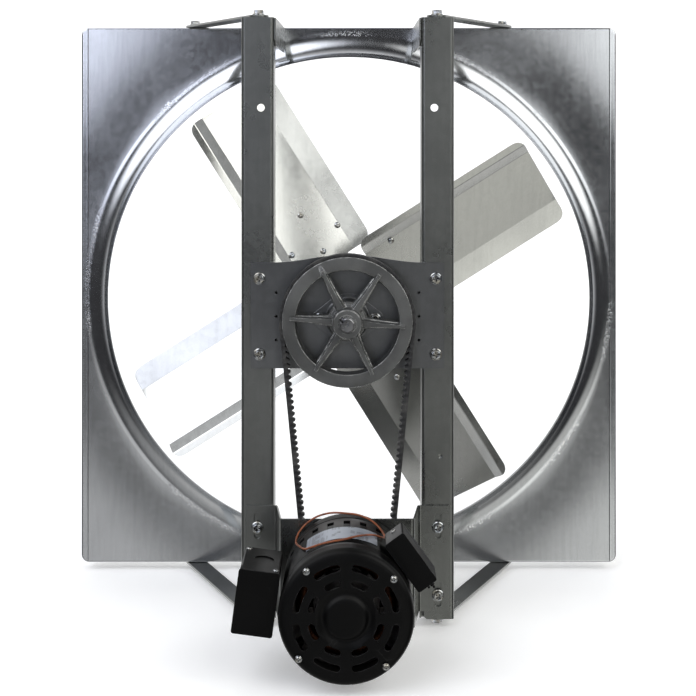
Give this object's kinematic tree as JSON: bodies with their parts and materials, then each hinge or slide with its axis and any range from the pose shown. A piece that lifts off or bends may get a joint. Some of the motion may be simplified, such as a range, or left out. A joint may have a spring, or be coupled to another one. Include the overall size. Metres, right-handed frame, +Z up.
{
  "type": "belt-drive propeller exhaust fan",
  "caption": "Belt-drive propeller exhaust fan in a square galvanized orifice panel, with a vented black motor on a slotted bracket across two stand-off rails.",
  "frame": {"origin": "the middle of the outer box, which lies on the fan axis, 207.4 mm in front of the orifice panel's front face", "axes": "+Z up, +X to the right seen from the drive side, +Y from the drive side through the panel, along the fan axis"},
  "size_m": [0.701, 0.4748, 0.7198],
  "materials": {
    "orifice_sheet": "galvanized sheet with fine spangle, satin",
    "frame_steel": "dull galvanized structural sheet",
    "bearing_plate_steel": "dull galvanized plate",
    "zinc_plated": "bright zinc plating",
    "ground_steel": "ground and polished",
    "cast_metal": "fine cast surface, worn brighter on the edges",
    "blade_sheet": "bright galvanized sheet",
    "belt_rubber": "dull black",
    "black_paint": "semi-gloss black paint",
    "capacitor_can": "plain drawn can",
    "label_foil": "silvery label with no readable text",
    "lead_insulation": "orange wire insulation",
    "lamination": "varnished steel laminations",
    "winding_copper": "varnished copper wire",
    "bearing_bronze": "sintered bronze"
  },
  "bodies": {
    "frame": {"bearing_housing_front": "bearing_plate_steel", "bearing_housing_rear": "bearing_plate_steel", "bearing_plate_front": "bearing_plate_steel", "bearing_plate_rear": "bearing_plate_steel", "drive_belt": "belt_rubber", "motor_mount_bolt_1": "zinc_plated", "motor_mount_bolt_2": "zinc_plated", "motor_mount_bolt_3": "zinc_plated", "motor_mount_bolt_4": "zinc_plated", "orifice_panel": "orifice_sheet", "plate_bolt_1": "zinc_plated", "plate_bolt_2": "zinc_plated", "plate_bolt_3": "zinc_plated", "plate_bolt_4": "zinc_plated", "rail_left": "frame_steel", "rail_right": "frame_steel", "standoff_lower_left": "frame_steel", "standoff_lower_right": "frame_steel", "standoff_upper_left": "frame_steel", "standoff_upper_right": "frame_steel", "strap_bolt_lower_left": "zinc_plated", "strap_bolt_lower_right": "zinc_plated", "strap_bolt_upper_left": "zinc_plated", "strap_bolt_upper_right": "zinc_plated", "strap_lower_left": "frame_steel", "strap_lower_right": "frame_steel", "strap_upper_left": "frame_steel", "strap_upper_right": "frame_steel"},
    "fan_rotor": {"fan_shaft": "ground_steel", "fan_pulley": "cast_metal", "pulley_key": "ground_steel", "bearing_insert_front": "ground_steel", "bearing_insert_rear": "ground_steel", "blade_hub": "cast_metal", "blade_1": "blade_sheet", "blade_2": "blade_sheet", "blade_3": "blade_sheet", "blade_4": "blade_sheet"},
    "motor_mount": {"capacitor_cover": "black_paint", "junction_box": "black_paint", "junction_box_cover": "black_paint", "motor_bearing_front": "bearing_bronze", "motor_bearing_rear": "bearing_bronze", "motor_bracket": "frame_steel", "motor_capacitor": "capacitor_can", "motor_end_bell_front": "black_paint", "motor_end_bell_rear": "black_paint", "motor_lead": "lead_insulation", "motor_nameplate": "label_foil", "motor_shell": "black_paint", "motor_stator": "lamination", "motor_tie_bolt_1": "zinc_plated", "motor_tie_bolt_2": "zinc_plated", "motor_tie_bolt_3": "zinc_plated", "motor_tie_bolt_4": "zinc_plated", "motor_winding": "winding_copper"},
    "motor_rotor": {"motor_shaft": "ground_steel", "motor_rotor_core": "lamination", "motor_pulley": "cast_metal", "motor_cooling_fan": "lamination"}
  },
  "joints": [
    {"name": "fan_spin", "type": "hinge", "parent": "frame", "child": "fan_rotor", "pos_m": [0, 0.2074, 0], "axis": [0, 1, 0], "continuous": true},
    {"name": "belt_tension", "type": "slide", "parent": "frame", "child": "motor_mount", "axis": [0, 0, 1], "range_m": [-0.012, 0.008], "deforming": ["drive_belt"]},
    {"name": "motor_spin", "type": "hinge", "parent": "motor_mount", "child": "motor_rotor", "pos_m": [0, 0.2074, -0.278], "axis": [0, 1, 0], "continuous": true}
  ],
  "couplings": [
    {"joint": "motor_spin", "follows": "fan_spin", "ratio": 1.5567}
  ]
}
